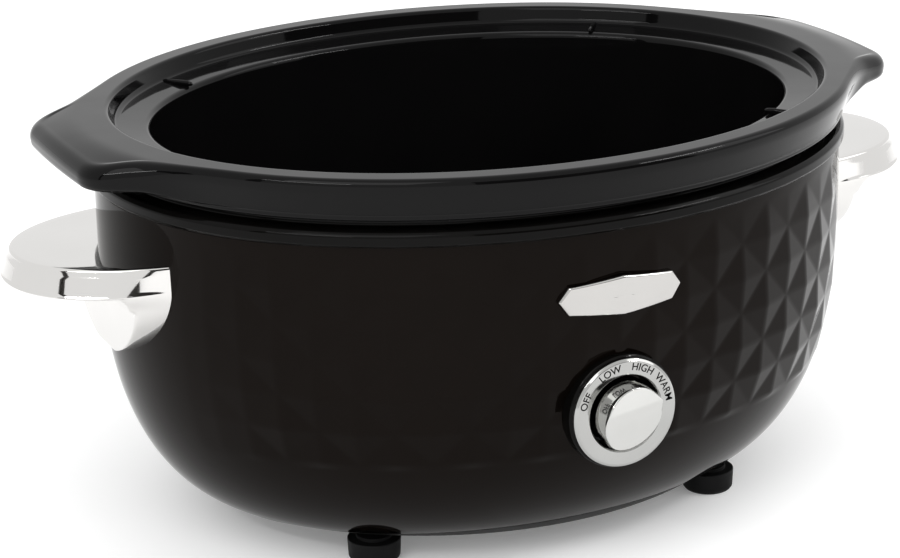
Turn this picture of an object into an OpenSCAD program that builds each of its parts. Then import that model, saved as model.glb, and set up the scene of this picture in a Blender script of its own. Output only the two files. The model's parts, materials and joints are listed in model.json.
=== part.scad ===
// Oval slow cooker: a stoneware crock in a heated metal base with a dial, badge, handles and feet.
// Millimetres, +Z up. The origin is on the floor, at the centre of the footprint's box. The dial faces -Y.

/* [Overall] */
// Half length of the crock's rim, along X
rim_half_l = 180; // [178:0.5:182]
// Unit of the oval's arcs: every oval's half width is two units less than its half length
arc_unit = 15; // [14.5:0.25:15.5]
// Height of the rim's top above the floor
rim_top = 190.5; // [189:0.5:192]
// Facets on round parts
$fn = 96; // [48:24:144]

/* [Crock] */
// Height of the rim band's lower edge
rim_bottom = 171.8; // [171:0.1:172.5]
// Height of the ledge that a lid sits on
lid_ledge = 182; // [180:0.5:184]
// Half length of the well's mouth
well_half_l = 149.5; // [146:0.5:151]
// Height of the crock's underside
crock_foot = 36; // [34:1:40]
// Thickness of the crock's floor
crock_floor_t = 7; // [5:0.5:10]
// Distance from the centre to a lug's tip
lug_reach = 199; // [196:0.5:201]
// Half width of a lug at its tip corners
lug_half_w = 42; // [38:1:46]
// Thickness of a lug
lug_t = 12; // [9:1:14]

/* [Base] */
// Half length of the shell where its side stands upright
shell_half_l = 175; // [174:0.5:176]
// Height of the shell's top edge
shell_top = 160; // [159:0.5:160]
// Height of the shell's rolled lower edge
shell_foot = 14; // [13:0.5:16]
// Sheet thickness of the shell
shell_t = 1.2; // [0.8:0.1:1.5]
// Height below which the side curves inwards
curve_top = 125; // [120:1:130]
// How far the side would curve in at the floor plate
curve_depth = 58; // [52:1:60]
// Height of the feet
foot_h = 10; // [9:0.5:11]
// Diameter of a foot
foot_d = 24; // [20:1:26]
// Distance from the centre to a foot, along X
foot_x = 85; // [80:1:88]
// Distance from the centre to a foot, along Y
foot_y = 71; // [66:1:73]

/* [Handles] */
// Distance from the centre to a handle's tip, at its flat top
handle_reach = 220; // [214:1:226]
// How much further out the wing's lower edge reaches at the tip
handle_flare = 4.4; // [0:0.2:6]
// Height of a handle's flat top
handle_top = 142; // [138:1:144]
// Thickness of a handle's wing
handle_t = 12.5; // [10:0.5:14]
// Half width of the wing where it meets the shell
handle_half_w = 50; // [46:1:52]
// Height of the mounting block's rounded lower end
block_foot = 93; // [90:1:98]
// Half width of the mounting block
block_half_w = 44; // [40:1:45]

/* [Dial] */
// Height of the dial's centre
dial_z = 79.4; // [78:0.1:81]
// Distance from the oval's centre to the dial ring's front face
dial_face = 148.5; // [148:0.5:150]
// Outer radius of the dial ring
ring_r = 24.3; // [23:0.1:25]
// Radius of the hole that the knob turns in
ring_hole_r = 16.8; // [16.5:0.1:17.4]
// Radius of the knob's rim
knob_r = 15.2; // [14:0.1:15.6]
// How far the knob stands in front of the ring
knob_proud = 12; // [10:0.5:14]
// Angle of the pointer at WARM, from +X towards +Z
pointer_deg = 27; // [20:1:35]
// Radius of the switch shaft
shaft_r = 3; // [2.5:0.1:3.2]
// Running clearance round the switch shaft
shaft_gap = 0.05; // [0.02:0.01:0.1]

/* [Hidden] */

// The oval is drawn with four arcs: two end arcs about (+-end_c, 0) and two side arcs about (0, -+side_c).
// Their centres make 3-4-5 triangles, so that the arcs meet exactly, whatever the oval's size.
end_c = 4 * arc_unit;
side_c = 3 * arc_unit;
oval_drop = 2 * arc_unit;
// The joins run from one centre through the next, out to this corner.
join_x = 18 * arc_unit;
join_y = (join_x - end_c) * 3 / 4;
// A cut runs this far past the face it opens.
over = 1;

// The knob stands ahead of the rim, so the oval's centre lies a little behind the origin.
oval_y = (dial_face + knob_proud - (rim_half_l - oval_drop)) / 2;

lid_wall_l = rim_half_l - 12.5;
crock_half_l = 156;
seat_top = rim_bottom - 0.3;
collar_half_l = shell_half_l + 2.4;
seat_inner_l = 163;
seat_outer_l = 168.5;
liner_t = 1;
liner_gap = 3.5;
liner_foot = crock_foot - liner_t - 3;
flange_half_l = shell_half_l - 2.4;
band_z = [58, 116];
shield_z = [44, 148];
plate_half_l = 132;
plate_t = 1.2;
plate_z = 11.6;
foot_screw_r = 1.8;
boss_r = ring_r + 1;
ring_t = 2.5;
boss_face = dial_face - ring_t;
boss_floor = [137.5, 141];
plug_r = 15.8;
bush_r = 4.5;
switch_r = 14;
switch_y = [125.5, boss_floor[0]];
badge_z = 132;
badge_half_l = 29;
badge_half_h = 8.7;
// The badge's corners lie this far in from its ends and its crown.
badge_corner = [4.5, 2.5];
badge_back = 145.3;
badge_t = 2;
clip_y = 139;
clip_r = 1.4;
wing_root = 150;
wing_straight = 18;
gland_z = 56;
gland_bore_r = 3.7;
gland_r = 7;
gland_y = 126;
flange_y = 139;
post_x = 70;
post_y = 45;
terminal_at = [48, 68];
fuse_at = [-34, 20];
lead_r = 1.3;

// How far the shell's side has curved in at height z, after a superellipse.
function side_inset(z) = z >= curve_top ? 0
  : curve_depth * (1 - sqrt(1 - pow((curve_top - z) / (curve_top - foot_h), 2.45)));
// The shell's side, moved inwards by t.
function shell_wall(t) = [for (z = [shell_foot, 17, 22, 30, 42, 60, 84, curve_top, shell_top])
  [shell_half_l - side_inset(z) - t, z]];
// The crock's outer half length at height z, and the liner's inner one round it.
function crock_l(z) = 137 + (z - 44) * (crock_half_l - 137) / 124;
function liner_l(z) = crock_l(z) + liner_gap;
// A band that follows the liner's taper between two heights, moved outwards by t.
function band_wall(zs, t) = [for (z = zs) [liner_l(z) + liner_t + t, z]];
// Closes a wall's profile back to the axis of its own sector.
function close_to(x, wall) = concat([[x, wall[0][1]]], wall, [[x, wall[len(wall) - 1][1]]]);

// A solid oval whose side is the profile wall, a list of [half length, height].
module oval_solid(wall) {
  low = min([for (p = wall) p[1]]) - over;
  tall = max([for (p = wall) p[1]]) - low + over;
  for (s = [0, 1]) mirror([s, 0, 0]) intersection() {
    translate([end_c, 0, 0]) rotate_extrude() translate([-end_c, 0]) polygon(close_to(end_c, wall));
    translate([0, 0, low]) linear_extrude(tall) polygon([[end_c, 0], [join_x, -join_y], [join_x, join_y]]);
  }
  for (s = [0, 1]) mirror([0, s, 0]) intersection() {
    translate([0, -side_c, 0]) rotate_extrude() translate([side_c - oval_drop, 0])
      polygon(close_to(oval_drop - side_c, wall));
    translate([0, 0, low]) linear_extrude(tall)
      polygon([[0, -side_c], [join_x, join_y], [join_x, 2 * join_y],
        [-join_x, 2 * join_y], [-join_x, join_y]]);
  }
}

// Turns a shape drawn along +Z to point along -Y, with its foot at distance y behind the front.
module facing_front(y, z = 0, x = 0) { translate([x, -y, z]) rotate([90, 0, 0]) children(); }

// A tube of radius r that follows points, as one closed polyhedron with 8 sides.
module lead(points, r) {
  sides = 8;
  n = len(points);
  along = [for (i = [0:n - 1]) points[min(i + 1, n - 1)] - points[max(i - 1, 0)]];
  rings = [for (i = [0:n - 1])
    let (t = along[i] / norm(along[i]), u = cross(t, [0.31, 0.17, 0.93]), a = u / norm(u), b = cross(t, a))
      for (k = [0:sides - 1]) points[i] + r * (a * cos(360 * k / sides) + b * sin(360 * k / sides))];
  polyhedron(rings, concat(
    [[for (k = [0:sides - 1]) k]],
    [for (i = [0:n - 2]) for (k = [0:sides - 1]) let (j = (k + 1) % sides)
      [i * sides + k, (i + 1) * sides + k, (i + 1) * sides + j, i * sides + j]],
    [[for (k = [sides - 1:-1:0]) (n - 1) * sides + k]]));
}

// A smooth curve through hand-placed points, with four steps to a span.
function curve(p) = let (n = len(p) - 1) [for (i = [0:n - 1]) for (k = [0:(i == n - 1 ? 4 : 3)])
  let (t = k / 4, a = p[max(i - 1, 0)], b = p[i], c = p[i + 1], d = p[min(i + 2, n)])
    (2 * b + (c - a) * t + (2 * a - 5 * b + 4 * c - d) * t * t + (3 * b - a - 3 * c + d) * t * t * t) / 2];

module lug() {
  translate([0, 0, rim_top - 1.5 - lug_t]) linear_extrude(lug_t) hull() for (s = [-1, 1]) {
    translate([lug_reach - 10, s * (lug_half_w - 10)]) circle(10, $fn = 32);
    translate([150, s * 62]) circle(10, $fn = 32);
  }
}

module crock() {
  color([0.05, 0.05, 0.05]) difference() {
    union() {
      oval_solid([[128, crock_foot], [133, 37.5], [137, 44], [crock_half_l, 168],
        [crock_half_l + 2, rim_bottom],
        [rim_half_l - 4, rim_bottom], [rim_half_l, rim_top - 5], [rim_half_l, rim_top - 2],
        [rim_half_l - 2, rim_top]]);
      for (s = [0, 1]) mirror([s, 0, 0]) lug();
    }
    oval_solid([[120, crock_foot + crock_floor_t], [127, 45], [131, 52], [well_half_l - 1, 178],
      [well_half_l, lid_ledge - 0.5], [lid_wall_l - 2.5, lid_ledge + 0.5], [lid_wall_l - 0.5, rim_top - 2.5],
      [lid_wall_l + 1.5, rim_top + over]]);
  }
}

module outer_shell() {
  foot_l = shell_half_l - side_inset(shell_foot) - shell_t;
  color([0.07, 0.06, 0.06]) difference() {
    oval_solid(shell_wall(0));
    oval_solid(concat([[foot_l - 2.6, shell_foot - over]], shell_wall(shell_t),
      [[shell_half_l - shell_t, shell_top + over]]));
    facing_front(100, dial_z) cylinder(r = plug_r + 0.2, h = 60);
    for (s = [-1, 1]) facing_front(100, badge_z, s * 18) cylinder(r = 1.5, h = 60);
    translate([0, 100, gland_z]) rotate([-90, 0, 0]) cylinder(r = gland_r, h = 60);
    for (s = [-1, 1], y = [-25, 25]) translate([s * 150, y, handle_top - handle_t / 2])
      rotate([0, s * 90, 0]) cylinder(r = 2.1, h = 40);
  }
}

module top_collar() {
  color([0.04, 0.04, 0.04]) difference() {
    oval_solid([[collar_half_l - 1.4, shell_top], [collar_half_l, shell_top + 1.2],
      [collar_half_l, shell_top + 6], [collar_half_l - 1.4, shell_top + 7.3],
      [seat_outer_l + 0.3, shell_top + 7.4],
      [seat_outer_l, seat_top]]);
    oval_solid([[seat_inner_l + 0.2, shell_top - over], [seat_inner_l, seat_top + 1.5]]);
  }
}

module heating_liner() {
  color([0.72, 0.73, 0.74]) difference() {
    union() {
      oval_solid([[130, liner_foot], [138, liner_foot + 1.6], [liner_l(42) + liner_t, 42],
        [liner_l(shell_top) + liner_t, shell_top]]);
      oval_solid([[flange_half_l, shell_top - 1], [flange_half_l, shell_top]]);
    }
    oval_solid([[129, liner_foot + liner_t], [137, liner_foot + 2.8], [liner_l(42), 42.5],
      [liner_l(shell_top), shell_top + over]]);
  }
}

module heater_band() {
  color([0.62, 0.55, 0.42]) difference() {
    oval_solid(band_wall(band_z, 2.3));
    oval_solid(band_wall([band_z[0] - over, band_z[1] + over], 0.3));
    translate([-4, 100, band_z[0] - over]) cube([8, 60, 70]);
  }
}

module heater_band_clamp() {
  color([0.75, 0.75, 0.76]) for (z = [band_z[0] + 12, band_z[1] - 12])
    translate([0, liner_l(z + 5) + liner_t + 2.4 - oval_drop, z]) {
      for (s = [-1, 1]) translate([s * 7 - 1, 0, -5]) cube([2, 4.3, 10]);
      translate([-10, 2.4, 0]) rotate([0, 90, 0]) cylinder(r = 1.4, h = 20);
    }
}

module heat_shield() {
  color([0.8, 0.8, 0.8]) difference() {
    oval_solid(band_wall(shield_z, 9.5));
    oval_solid(band_wall([shield_z[0] - over, shield_z[1] + over], 8.9));
    facing_front(100, dial_z) cylinder(r = switch_r + 5, h = 60);
  }
}

module base_plate() {
  color([0.09, 0.09, 0.09]) difference() {
    oval_solid([[plate_half_l - 0.5, plate_z], [plate_half_l, plate_z + 1], [plate_half_l, plate_z + 2.8]]);
    oval_solid([[plate_half_l - plate_t - 0.8, plate_z + plate_t], [plate_half_l - plate_t, plate_z + 4]]);
    for (sx = [-1, 1], sy = [-1, 1])
      translate([sx * foot_x, sy * foot_y, 0]) cylinder(r = foot_screw_r + 0.1, h = 30);
    cylinder(r = 3.1, h = 30);
  }
}

// A rubber foot: a tapered pad under a neck, with a counterbored hole for its screw.
module foot(sx, sy) {
  color([0.05, 0.05, 0.05]) translate([sx * foot_x, sy * foot_y, 0]) difference() {
    union() {
      cylinder(r1 = foot_d / 2 - 1, r2 = foot_d / 2, h = 3);
      translate([0, 0, 3]) cylinder(r = foot_d / 2, h = foot_h - 3);
      translate([0, 0, foot_h]) cylinder(r = 4.5, h = plate_z - foot_h);
    }
    translate([0, 0, -over]) cylinder(r = foot_screw_r + 0.2, h = 30);
    translate([0, 0, -over]) cylinder(r = 4.2, h = 4 + over);
  }
}

module foot_screws() {
  color([0.7, 0.7, 0.72]) for (sx = [-1, 1], sy = [-1, 1]) translate([sx * foot_x, sy * foot_y, 0]) {
    translate([0, 0, 1.6]) cylinder(r = 3.6, h = 2.4);
    translate([0, 0, 4]) cylinder(r = foot_screw_r, h = 12);
  }
}

module liner_posts() {
  color([0.6, 0.6, 0.6]) for (sx = [-1, 1], sy = [-1, 1])
    translate([sx * post_x, sy * post_y, plate_z + plate_t])
      cylinder(r = 5, h = liner_foot - plate_z - plate_t);
}

module centre_stud() {
  color([0.7, 0.7, 0.72]) {
    translate([0, 0, liner_foot - 2]) cylinder(r = 14, h = 2);
    translate([0, 0, plate_z - 6]) cylinder(r = 3, h = liner_foot - plate_z + 4.1);
  }
}

module centre_nut() {
  color([0.7, 0.7, 0.72]) translate([0, 0, plate_z - 5]) difference() {
    cylinder(r = 6, h = 5, $fn = 6);
    translate([0, 0, -over]) cylinder(r = 3.05, h = 7);
  }
}

// The wing's D-shaped outline at its foot, a half superellipse from its straight root to the tip, with x
// from wing_root.
function wing_outline(n = 28) = [for (i = [0:n]) let (a = -90 + 180 * i / n)
  [wing_straight + (handle_reach + handle_flare - wing_root - wing_straight) * pow(abs(cos(a)), 0.95),
    handle_half_w * sign(sin(a)) * pow(abs(sin(a)), 0.95)]];
// The mounting block's outline in [y, z]: upright at the top and half an ellipse below.
function block_outline(n = 28) = concat([[block_half_w, handle_top], [-block_half_w, handle_top]],
  [for (i = [0:n]) let (a = 180 + 180 * i / n)
    [block_half_w * cos(a), handle_top - 1 + (handle_top - 1 - block_foot) * sin(a)]]);

module handle(s) {
  color([0.8, 0.8, 0.81]) mirror([s < 0 ? 1 : 0, 0, 0]) difference() {
    union() {
      translate([wing_root, 0, handle_top - handle_t])
        linear_extrude(handle_t, slices = 1,
            scale = [1 - handle_flare / (handle_reach + handle_flare - wing_root), 1])
          polygon(concat(wing_outline(), [[0, handle_half_w], [0, -handle_half_w]]));
      intersection() {
        translate([wing_root, 0, 0]) rotate([90, 0, 90]) linear_extrude(60) polygon(block_outline());
        oval_solid([[shell_half_l + 6, block_foot - over], [shell_half_l + 6, handle_top]]);
      }
    }
    oval_solid(shell_wall(0));
    for (y = [-25, 25]) translate([wing_root, y, handle_top - handle_t / 2])
      rotate([0, 90, 0]) cylinder(r = 2, h = 38);
  }
}

module handle_screws() {
  color([0.7, 0.7, 0.72]) for (s = [-1, 1], y = [-25, 25])
    translate([s * 166.8, y, handle_top - handle_t / 2]) rotate([0, s * 90, 0]) {
      cylinder(r = 1.9, h = 19);
      cylinder(r = 3.8, h = 3);
    }
}

module dial_boss() {
  color([0.04, 0.04, 0.04]) difference() {
    union() {
      difference() {
        facing_front(120, dial_z) cylinder(r = boss_r, h = boss_face - 120);
        oval_solid(shell_wall(0));
      }
      facing_front(boss_floor[0], dial_z) cylinder(r = plug_r, h = 6);
    }
    facing_front(boss_floor[1], dial_z) cylinder(r = ring_hole_r + 0.6, h = 20);
    facing_front(120, dial_z) cylinder(r = bush_r + 0.1, h = 40);
  }
}

module dial_ring() {
  color([0.85, 0.85, 0.86]) facing_front(boss_face, dial_z) difference() {
    union() {
      cylinder(r = ring_r, h = ring_t - 0.8);
      translate([0, 0, ring_t - 0.8]) cylinder(r1 = ring_r, r2 = ring_r - 0.8, h = 0.8);
    }
    translate([0, 0, -over]) cylinder(r = ring_hole_r, h = ring_t + 2 * over);
  }
}

module knob() {
  knob_back = boss_floor[1] + 0.8;
  tip_r = ring_hole_r + 0.8;
  color([0.82, 0.82, 0.83]) facing_front(knob_back, dial_z) difference() {
    union() {
      cylinder(r = knob_r, h = dial_face + knob_proud - knob_back - 1);
      translate([0, 0, dial_face + knob_proud - knob_back - 1]) cylinder(r1 = knob_r, r2 = knob_r - 1, h = 1);
      translate([0, 0, dial_face + 3 - knob_back]) rotate([0, 0, pointer_deg]) linear_extrude(knob_proud - 5)
        polygon([[0, -knob_r * 0.7], [tip_r, 0], [0, knob_r * 0.7]]);
    }
    translate([0, 0, -over]) cylinder(r = 9.5, h = 3.4 + over);
    cylinder(r = shaft_r + 0.02, h = 12);
  }
}

module switch_shaft() {
  color([0.75, 0.75, 0.76]) facing_front(switch_y[0] + 2, dial_z)
    cylinder(r = shaft_r, h = boss_floor[1] + 12 - switch_y[0] - 2);
}

module switch_bush() {
  color([0.78, 0.7, 0.45]) facing_front(switch_y[1], dial_z) difference() {
    cylinder(r = bush_r, h = boss_floor[1] + 3.2 - switch_y[1]);
    translate([0, 0, -over]) cylinder(r = shaft_r + shaft_gap, h = 20);
  }
}

module switch_nut() {
  color([0.75, 0.75, 0.76]) facing_front(boss_floor[1], dial_z) difference() {
    cylinder(r = 8, h = 3, $fn = 6);
    translate([0, 0, -over]) cylinder(r = bush_r + 0.05, h = 6);
  }
}

module switch_housing() {
  color([0.2, 0.19, 0.18]) facing_front(switch_y[0], dial_z) difference() {
    cylinder(r = switch_r, h = switch_y[1] - switch_y[0]);
    translate([0, 0, -over]) cylinder(r = switch_r - 1.5, h = switch_y[1] - switch_y[0] - 1);
    cylinder(r = shaft_r + 0.4, h = 30);
  }
}

module switch_rotor() {
  color([0.85, 0.83, 0.78]) facing_front(switch_y[0] + 3, dial_z) difference() {
    union() {
      cylinder(r = 8, h = 6);
      translate([-2, 0, 0]) cube([4, 11, 6]);
    }
    translate([0, 0, -over]) cylinder(r = shaft_r + 0.02, h = 10);
  }
}

module switch_cover() {
  color([0.55, 0.33, 0.16]) facing_front(switch_y[0], dial_z) cylinder(r = switch_r - 1.6, h = 1.6);
}

// The switch's tabs stand out of its side at 45 degrees to the level.
tab_y = switch_y[0] + 4;
tab_end = (switch_r + 6.5) * cos(45);

module switch_tabs() {
  color([0.8, 0.75, 0.5]) facing_front(tab_y, dial_z) for (a = [45:90:315])
    rotate([0, 0, a]) translate([switch_r + 0.05, -2.4, -0.4]) cube([6.4, 4.8, 0.8]);
}

module badge() {
  corner_x = badge_half_l - badge_corner[0];
  corner_h = badge_half_h - badge_corner[1];
  color([0.85, 0.85, 0.86]) facing_front(badge_back, badge_z) linear_extrude(badge_t)
    polygon([[badge_half_l, 0], [corner_x, corner_h], [0, badge_half_h], [-corner_x, corner_h],
      [-badge_half_l, 0], [-corner_x, -corner_h], [0, -badge_half_h], [corner_x, -corner_h]]);
}

module badge_clips() {
  color([0.7, 0.7, 0.72]) for (s = [-1, 1]) facing_front(clip_y, badge_z, s * 18) {
    cylinder(r = clip_r, h = badge_back - clip_y);
    difference() {
      translate([0, 0, 1.2]) cylinder(r = 4, h = 1);
      cylinder(r = clip_r, h = 3);
    }
  }
}

module collar_clips() {
  color([0.7, 0.7, 0.72]) for (sx = [-1, 1], x = [0, 75]) if (x > 0 || sx > 0)
    for (sy = [-1, 1]) translate([sx * x - 5, sy * (x > 0 ? 124 : 138.2) - 1, shell_top - 11.3])
      cube([10, 2, 10.3]);
}

module terminal_block() {
  corner = [terminal_at[0] - 14, terminal_at[1] - 6, plate_z + plate_t];
  color([0.9, 0.88, 0.8]) translate(corner) difference() {
    cube([28, 12, 13]);
    for (x = [6, 14, 22]) translate([x, 6, 6]) cylinder(r = 1.7, h = 10);
  }
}

module terminal_screws() {
  color([0.8, 0.75, 0.5]) for (x = [6, 14, 22])
    translate([terminal_at[0] - 14 + x, terminal_at[1], plate_z + plate_t + 7]) cylinder(r = 1.6, h = 5);
}

module thermal_fuse() {
  color([0.8, 0.8, 0.8]) translate([fuse_at[0], fuse_at[1], liner_foot - 3])
    rotate([0, 90, 0]) cylinder(r = 2, h = 18);
}

module fuse_clip() {
  color([0.7, 0.7, 0.72]) difference() {
    translate([fuse_at[0] + 6, fuse_at[1] - 3, liner_foot - 6]) cube([6, 6, 6]);
    translate([fuse_at[0], fuse_at[1], liner_foot - 3]) rotate([0, 90, 0]) cylinder(r = 2.05, h = 30);
  }
}

module wire_leads() {
  tab_low = dial_z - tab_end - 1.5;
  block_y = terminal_at[1] - 6.2;
  fuse_z = liner_foot - 3;
  color([0.75, 0.1, 0.08]) {
    lead(curve([[tab_end, -tab_y, tab_low], [16, -128, 50], [18, -112, 30], [24, -92, 20], [34, -50, 17],
      [36, 0, 17], [41, 40, 18], [terminal_at[0] - 8, block_y, 20]]), lead_r);
    lead(curve([[-tab_end, -tab_y, tab_low], [-16, -128, 50], [-20, -112, 30], [-30, -92, 20], [-46, -50, 18],
      [-52, 0, 22], [-46, 18, fuse_z], [fuse_at[0] - 0.6, fuse_at[1], fuse_z]]), lead_r);
    lead(curve([[fuse_at[0] + 18.6, fuse_at[1], fuse_z], [-4, 24, 27], [20, 40, 26], [42, 50, 25],
      [terminal_at[0], block_y, 20]]), lead_r);
  }
}

module cord_gland() {
  color([0.05, 0.05, 0.05]) translate([0, gland_y, gland_z]) rotate([-90, 0, 0]) difference() {
    union() {
      cylinder(r = gland_r - 0.1, h = flange_y - gland_y);
      translate([0, 0, flange_y - gland_y]) cylinder(r = gland_r + 2, h = 2.5);
      translate([0, 0, flange_y - gland_y + 2.5]) cylinder(r1 = gland_r - 0.5, r2 = gland_r - 2, h = 7.5);
    }
    translate([0, 0, -over]) cylinder(r = gland_bore_r, h = 40);
  }
}

module gland_nut() {
  color([0.08, 0.08, 0.08]) translate([0, gland_y + 0.5, gland_z]) rotate([-90, 0, 0]) difference() {
    cylinder(r = 9.5, h = 3.5, $fn = 6);
    translate([0, 0, -over]) cylinder(r = gland_r, h = 8);
  }
}

module earth_screw() {
  color([0.8, 0.75, 0.5]) translate([20, 60, plate_z + plate_t]) {
    cylinder(r = 4, h = 2.5);
    cylinder(r = 2, h = 6);
  }
}

// Moves the whole cooker so that its footprint's box is centred on the origin.
module place() { translate([0, oval_y, 0]) children(); }

place() crock();
place() outer_shell();
place() top_collar();
place() heating_liner();
place() heater_band();
place() heater_band_clamp();
place() heat_shield();
place() base_plate();
place() foot(-1, -1);  // foot_front_left
place() foot(1, -1);  // foot_front_right
place() foot(-1, 1);  // foot_rear_left
place() foot(1, 1);  // foot_rear_right
place() foot_screws();
place() liner_posts();
place() centre_stud();
place() centre_nut();
place() handle(-1);  // handle_left
place() handle(1);  // handle_right
place() handle_screws();
place() dial_boss();
place() dial_ring();
place() knob();
place() switch_shaft();
place() switch_bush();
place() switch_nut();
place() switch_housing();
place() switch_rotor();
place() switch_cover();
place() switch_tabs();
place() badge();
place() badge_clips();
place() collar_clips();
place() terminal_block();
place() terminal_screws();
place() thermal_fuse();
place() fuse_clip();
place() wire_leads();
place() cord_gland();
place() gland_nut();
place() earth_screw();
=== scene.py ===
"""Looks of an oval slow cooker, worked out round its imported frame.

Lengths are millimetres until a mesh is made. The oval's centre lies at x = 0 and a little behind the
frame's origin; +Z is up and the dial faces -Y. A shape is a set of rings: an array of rows by columns of
points, where each row is one closed ring and neighbouring rings are joined by faces.
"""

import json
import logging
import math
from dataclasses import dataclass
from enum import Enum

import bpy
import numpy as np
from mathutils import Matrix, Vector


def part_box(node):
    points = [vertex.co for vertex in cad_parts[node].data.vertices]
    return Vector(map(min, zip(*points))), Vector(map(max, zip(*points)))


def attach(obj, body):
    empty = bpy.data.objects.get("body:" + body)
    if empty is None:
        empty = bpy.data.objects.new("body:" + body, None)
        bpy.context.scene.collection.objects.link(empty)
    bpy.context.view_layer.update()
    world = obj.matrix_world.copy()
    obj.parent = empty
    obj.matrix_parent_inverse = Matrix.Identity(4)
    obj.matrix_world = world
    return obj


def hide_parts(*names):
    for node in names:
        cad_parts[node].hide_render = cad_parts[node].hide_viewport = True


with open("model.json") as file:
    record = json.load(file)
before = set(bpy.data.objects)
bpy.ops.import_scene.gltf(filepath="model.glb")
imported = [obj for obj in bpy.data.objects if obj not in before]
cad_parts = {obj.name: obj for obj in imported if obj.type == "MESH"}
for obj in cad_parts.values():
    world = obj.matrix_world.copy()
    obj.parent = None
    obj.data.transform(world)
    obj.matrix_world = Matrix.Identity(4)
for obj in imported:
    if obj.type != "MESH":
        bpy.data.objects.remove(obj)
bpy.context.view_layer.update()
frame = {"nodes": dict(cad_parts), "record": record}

LOG = logging.getLogger("slow_cooker")
MM = 0.001


# ---------------------------------------------------------------- numbers and curves


def smoothstep(low: float, high: float, x: np.ndarray) -> np.ndarray:
    """Eases from 0 at low to 1 at high, level at both ends."""
    t = np.clip((x - low) / (high - low), 0.0, 1.0)
    return t * t * (3.0 - 2.0 * t)


def smooth_max(a: np.ndarray, b: np.ndarray, k: float) -> np.ndarray:
    """The greater of a and b, with the crease between them rounded over a width k."""
    h = np.clip(k - np.abs(a - b), 0.0, None) / k
    return np.maximum(a, b) + h * h * k / 4.0


def smooth_min(a: np.ndarray, b: np.ndarray, k: float) -> np.ndarray:
    """The lesser of a and b, with the crease between them rounded over a width k."""
    return -smooth_max(-a, -b, k)


def lerp(a: np.ndarray, b: np.ndarray, t: np.ndarray) -> np.ndarray:
    """The point that lies the share t of the way from a to b."""
    return a + (b - a) * t


def turns(count: int) -> np.ndarray:
    """Angles of count columns, evenly round a circle."""
    return np.arange(count) * (2.0 * math.pi / count)


def rounded_path(corners: list, radii: list, step: float = 4.0, closed: bool = False) -> np.ndarray:
    """A polyline whose corners are drawn as arcs.

    Each corner is replaced by an arc that touches both sides, at most the corner's radius. Straight
    stretches get points no further apart than step, and a pair close to each arc to hold its shading.

    Args:
        corners: points (x, y), in order.
        radii: one radius for each corner; 0 leaves the corner sharp.
        step: longest straight edge.
        closed: joins the last corner to the first.

    Returns:
        The points as an (n, 2) array.
    """
    points = np.array(corners, float)
    count = len(points)
    pieces = []
    for i in range(count):
        here = points[i]
        if not closed and i in (0, count - 1) or radii[i] <= 0.0:
            pieces.append(here[None])
            continue
        back, ahead = points[i - 1] - here, points[(i + 1) % count] - here
        reach_back, reach_ahead = np.linalg.norm(back), np.linalg.norm(ahead)
        back, ahead = back / reach_back, ahead / reach_ahead
        half = math.acos(float(np.clip(back @ ahead, -1.0, 1.0))) / 2.0
        cut = min(radii[i] / math.tan(half), 0.49 * reach_back, 0.49 * reach_ahead)
        radius = cut * math.tan(half)
        middle = (back + ahead) / np.linalg.norm(back + ahead)
        centre = here + middle * (radius / math.sin(half))
        start, end = here + back * cut - centre, here + ahead * cut - centre
        sweep = math.pi - 2.0 * half
        arc_t = np.linspace(0.0, 1.0, max(4, int(math.degrees(sweep) / 12.0)))[:, None]
        arc = (np.sin((1.0 - arc_t) * sweep) * start + np.sin(arc_t * sweep) * end) / math.sin(sweep)
        pieces.append(centre + arc)
    path = [pieces[0]]
    pairs = pieces[1:] + ([pieces[0]] if closed else [])
    for piece in pairs:
        start, end = path[-1][-1], piece[0]
        length = float(np.linalg.norm(end - start))
        marks = np.linspace(0.0, 1.0, max(2, int(math.ceil(length / step)) + 1))
        near = min(0.35 / max(length, 1e-6), 0.2)
        marks = np.unique(np.concatenate([marks, [near, 1.0 - near]]))[1:-1, None]
        path.append(start + (end - start) * marks)
        path.append(piece)
    if closed:
        path.pop()
    return np.concatenate(path)


# ---------------------------------------------------------------- meshes


class Split(Enum):
    """Which way a grid's four-cornered faces are cut in two."""

    NONE = 0
    RISING = 1
    FALLING = 2


def ring_faces(rows: int, columns: int, joined: bool, split: np.ndarray | None = None) -> list:
    """Faces between neighbouring rings.

    Args:
        rows: number of rings.
        columns: points in each ring.
        joined: joins the last ring to the first as well.
        split: for each face, a Split value that says how it is cut in two, or None for whole faces.

    Returns:
        Arrays of vertex numbers, one array for each number of corners.
    """
    row = np.arange(rows if joined else rows - 1)[:, None]
    column = np.arange(columns)[None, :]
    after, beside = (row + 1) % rows, (column + 1) % columns
    a, b = row * columns + column, row * columns + beside
    c, d = after * columns + beside, after * columns + column
    a, b, c, d = (np.broadcast_to(x, (len(row), columns)) for x in (a, b, c, d))
    if split is None:
        return [np.stack([a, b, c, d], -1).reshape(-1, 4)]
    whole, rising = split == Split.NONE.value, split == Split.RISING.value
    falling = split == Split.FALLING.value
    threes = [np.stack([x[m] for x in t], -1) for m, t in (
        (rising, (a, b, c)), (rising, (a, c, d)), (falling, (a, b, d)), (falling, (b, c, d)))]
    return [np.stack([x[whole] for x in (a, b, c, d)], -1), np.concatenate(threes)]


def signed_volume(points: np.ndarray, faces: list) -> float:
    """Six times the volume inside the faces, which is negative where they face inwards."""
    total = 0.0
    for group in faces:
        for k in range(1, group.shape[1] - 1):
            a, b, c = points[group[:, 0]], points[group[:, k]], points[group[:, k + 1]]
            total += float(np.einsum("ij,ij->", a, np.cross(b, c)))
    return total


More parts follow.
